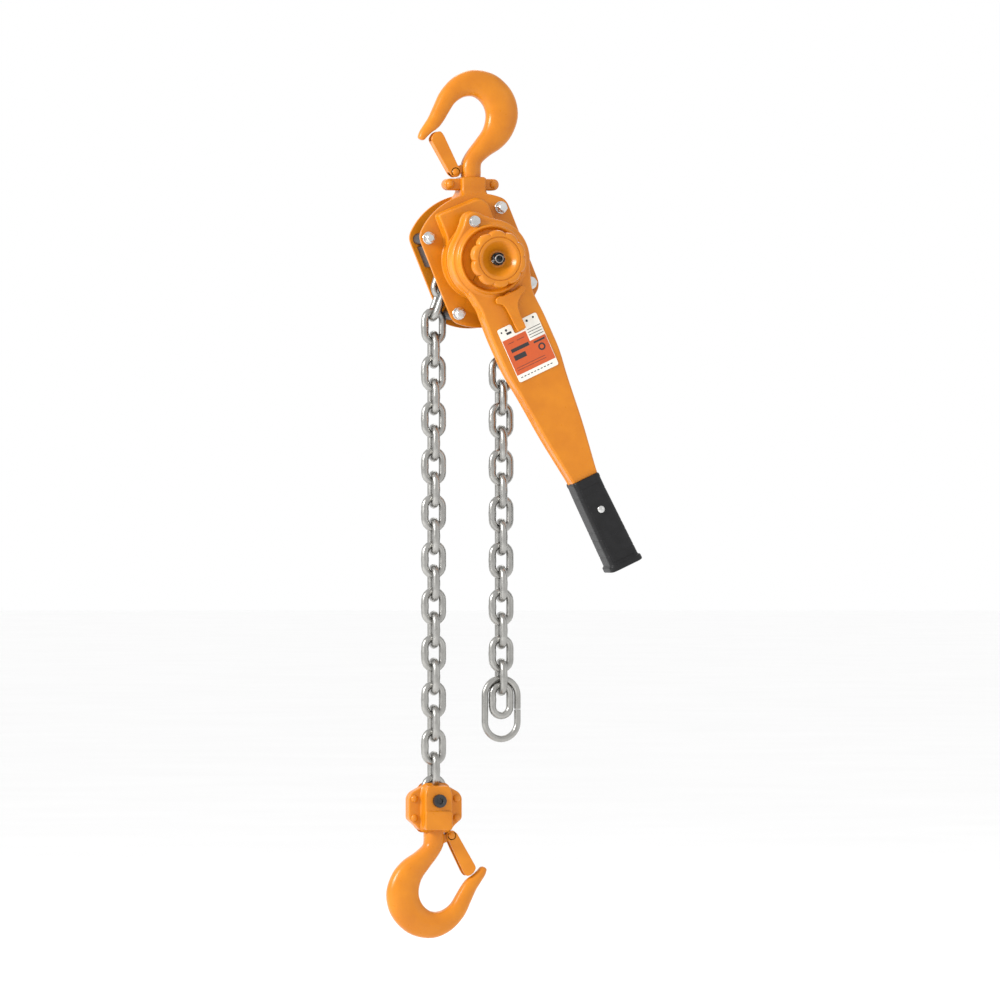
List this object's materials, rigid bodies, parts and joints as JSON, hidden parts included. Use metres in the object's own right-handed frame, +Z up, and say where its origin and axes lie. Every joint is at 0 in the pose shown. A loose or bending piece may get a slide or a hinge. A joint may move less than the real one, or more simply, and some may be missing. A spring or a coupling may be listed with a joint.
{
  "type": "lever chain hoist",
  "caption": "Ratchet lever chain hoist with two swivel hooks, geared load sheave, screw brake, hand wheel, rubber-gripped lever and welded link chain.",
  "frame": {"origin": "saddle of the top hook, where the hoist hangs from its support", "axes": "+Z up, -Y the front where the lever and hand wheel are, +X to the right, the side the lever points to"},
  "size_m": [0.2998, 0.166, 1.0464],
  "materials": {
    "paint": "glossy orange paint",
    "chain_steel": "plated, satin",
    "zinc": "bright zinc plate",
    "black_steel": "black oxide",
    "gear_steel": "machined, oiled",
    "lining": "friction lining",
    "rubber": "matte black",
    "label": "printed plate, no lettering"
  },
  "bodies": {
    "top_hook": {"top_hook": "paint", "top_latch_pin": "paint"},
    "top_latch": {"top_hook_latch": "paint"},
    "hoist_frame": {"front_side_plate": "paint", "rear_side_plate": "paint", "neck_rivet_left": "paint", "neck_rivet_right": "paint", "stay_bolt_1": "zinc", "stay_bolt_2": "zinc", "stay_bolt_3": "zinc", "stay_bolt_4": "zinc", "chain_guide": "black_steel", "chain_stripper": "black_steel", "gear_cover": "paint", "cover_screw_1": "zinc", "cover_screw_2": "zinc", "cover_screw_3": "zinc", "cover_screw_4": "zinc", "brake_cover": "paint", "pawl_pin": "gear_steel"},
    "drive": {"pinion_shaft": "gear_steel", "friction_hub": "gear_steel", "friction_disc_rear": "lining", "friction_disc_front": "lining", "ratchet_disc": "gear_steel", "change_gear": "gear_steel", "hand_wheel": "paint", "castle_nut": "black_steel", "split_pin": "zinc"},
    "gear_upper": {"intermediate_gear_upper": "gear_steel"},
    "gear_lower": {"intermediate_gear_lower": "gear_steel"},
    "sheave": {"load_sheave": "gear_steel", "load_gear": "gear_steel", "chain_on_sheave": "chain_steel"},
    "pawl": {"brake_pawl": "gear_steel"},
    "lever": {"lever_rear_shell": "paint", "lever_front_shell": "paint", "lever_bolt": "zinc", "name_plate": "label", "grip": "rubber", "grip_rivet": "zinc"},
    "selector": {"selector_lever": "paint", "selector_pawl": "gear_steel"},
    "load_chain": {"load_chain_upper": "chain_steel"},
    "load_chain_hanging": {"load_chain_lower": "chain_steel"},
    "bottom_block": {"bottom_block_front": "paint", "bottom_block_rear": "paint", "chain_pin": "black_steel", "chain_pin_nut": "black_steel", "block_rivet_1": "paint", "block_rivet_2": "paint", "block_rivet_3": "paint", "block_rivet_4": "paint"},
    "bottom_hook": {"bottom_hook": "paint", "bottom_latch_pin": "paint"},
    "bottom_latch": {"bottom_hook_latch": "paint"},
    "slack_chain": {"slack_chain_upper": "chain_steel"},
    "slack_chain_hanging": {"slack_chain_lower": "chain_steel"},
    "end_ring": {"chain_end_ring": "chain_steel"}
  },
  "joints": [
    {"name": "frame_swivel", "type": "hinge", "parent": "top_hook", "child": "hoist_frame", "pos_m": [0, 0, -0.11], "axis": [0, 0, 1], "continuous": true},
    {"name": "top_latch_pivot", "type": "hinge", "parent": "top_hook", "child": "top_latch", "pos_m": [-0.0207, 0, -0.0917], "axis": [0, 1, 0], "range_deg": [0, 40], "stiffness_Nm_per_rad": 0.35, "springref_deg": -28.65},
    {"name": "drive_turn", "type": "hinge", "parent": "hoist_frame", "child": "drive", "pos_m": [0.004, 0, -0.1986], "axis": [0, 1, 0], "range_deg": [-30.6, 30.6]},
    {"name": "gear_upper_turn", "type": "hinge", "parent": "hoist_frame", "child": "gear_upper", "pos_m": [-0.01093, 0, -0.16257], "axis": [0, 1, 0], "range_deg": [-11, 11]},
    {"name": "gear_lower_turn", "type": "hinge", "parent": "hoist_frame", "child": "gear_lower", "pos_m": [0.01893, 0, -0.23463], "axis": [0, 1, 0], "range_deg": [-11, 11]},
    {"name": "sheave_turn", "type": "hinge", "parent": "hoist_frame", "child": "sheave", "pos_m": [0.004, 0, -0.1986], "axis": [0, 1, 0], "range_deg": [-4, 4]},
    {"name": "load_chain_travel", "type": "slide", "parent": "hoist_frame", "child": "load_chain", "axis": [0, 0, 1], "range_m": [-0.00229, 0.00229]},
    {"name": "slack_chain_travel", "type": "slide", "parent": "hoist_frame", "child": "slack_chain", "axis": [0, 0, 1], "range_m": [-0.00234, 0.00234]},
    {"name": "load_chain_swing", "type": "hinge", "parent": "load_chain", "child": "load_chain_hanging", "pos_m": [-0.0465, 0, -0.37666], "axis": [0, 1, 0], "range_deg": [-2, 8]},
    {"name": "bottom_block_pivot", "type": "hinge", "parent": "load_chain_hanging", "child": "bottom_block", "pos_m": [-0.0465, 0, -0.84861], "axis": [0, 1, 0], "range_deg": [-12, 12]},
    {"name": "bottom_hook_swivel", "type": "hinge", "parent": "bottom_block", "child": "bottom_hook", "pos_m": [-0.0465, 0, -0.88211], "axis": [0, 0, 1], "continuous": true},
    {"name": "bottom_latch_pivot", "type": "hinge", "parent": "bottom_hook", "child": "bottom_latch", "pos_m": [-0.0258, 0, -0.89091], "axis": [0, 1, 0], "range_deg": [0, 40], "stiffness_Nm_per_rad": 0.35, "springref_deg": -28.65},
    {"name": "slack_chain_swing", "type": "hinge", "parent": "slack_chain", "child": "slack_chain_hanging", "pos_m": [0.03845, 0, -0.37778], "axis": [0, 1, 0], "range_deg": [-8, 2]},
    {"name": "end_ring_pivot", "type": "hinge", "parent": "slack_chain_hanging", "child": "end_ring", "pos_m": [0.03845, 0, -0.70643], "axis": [1, 0, 0], "range_deg": [-12, 12]},
    {"name": "lever_turn", "type": "hinge", "parent": "hoist_frame", "child": "lever", "pos_m": [0.004, 0, -0.1986], "axis": [0, 1, 0], "continuous": true},
    {"name": "selector_turn", "type": "hinge", "parent": "lever", "child": "selector", "pos_m": [0.02589, 0, -0.24577], "axis": [0, 1, 0], "range_deg": [-10, 10]},
    {"name": "pawl_lift", "type": "hinge", "parent": "hoist_frame", "child": "pawl", "pos_m": [0.00105, 0, -0.13921], "axis": [0, 1, 0], "range_deg": [0, 10], "stiffness_Nm_per_rad": 0.05, "springref_deg": -17.19}
  ],
  "couplings": [
    {"joint": "drive_turn", "follows": "load_chain_travel", "rad_per_m": 228.66},
    {"joint": "gear_upper_turn", "follows": "load_chain_travel", "rad_per_m": -78.848},
    {"joint": "gear_lower_turn", "follows": "load_chain_travel", "rad_per_m": -78.848},
    {"joint": "sheave_turn", "follows": "load_chain_travel", "rad_per_m": 27.189},
    {"joint": "slack_chain_travel", "follows": "load_chain_travel", "ratio": -1}
  ]
}
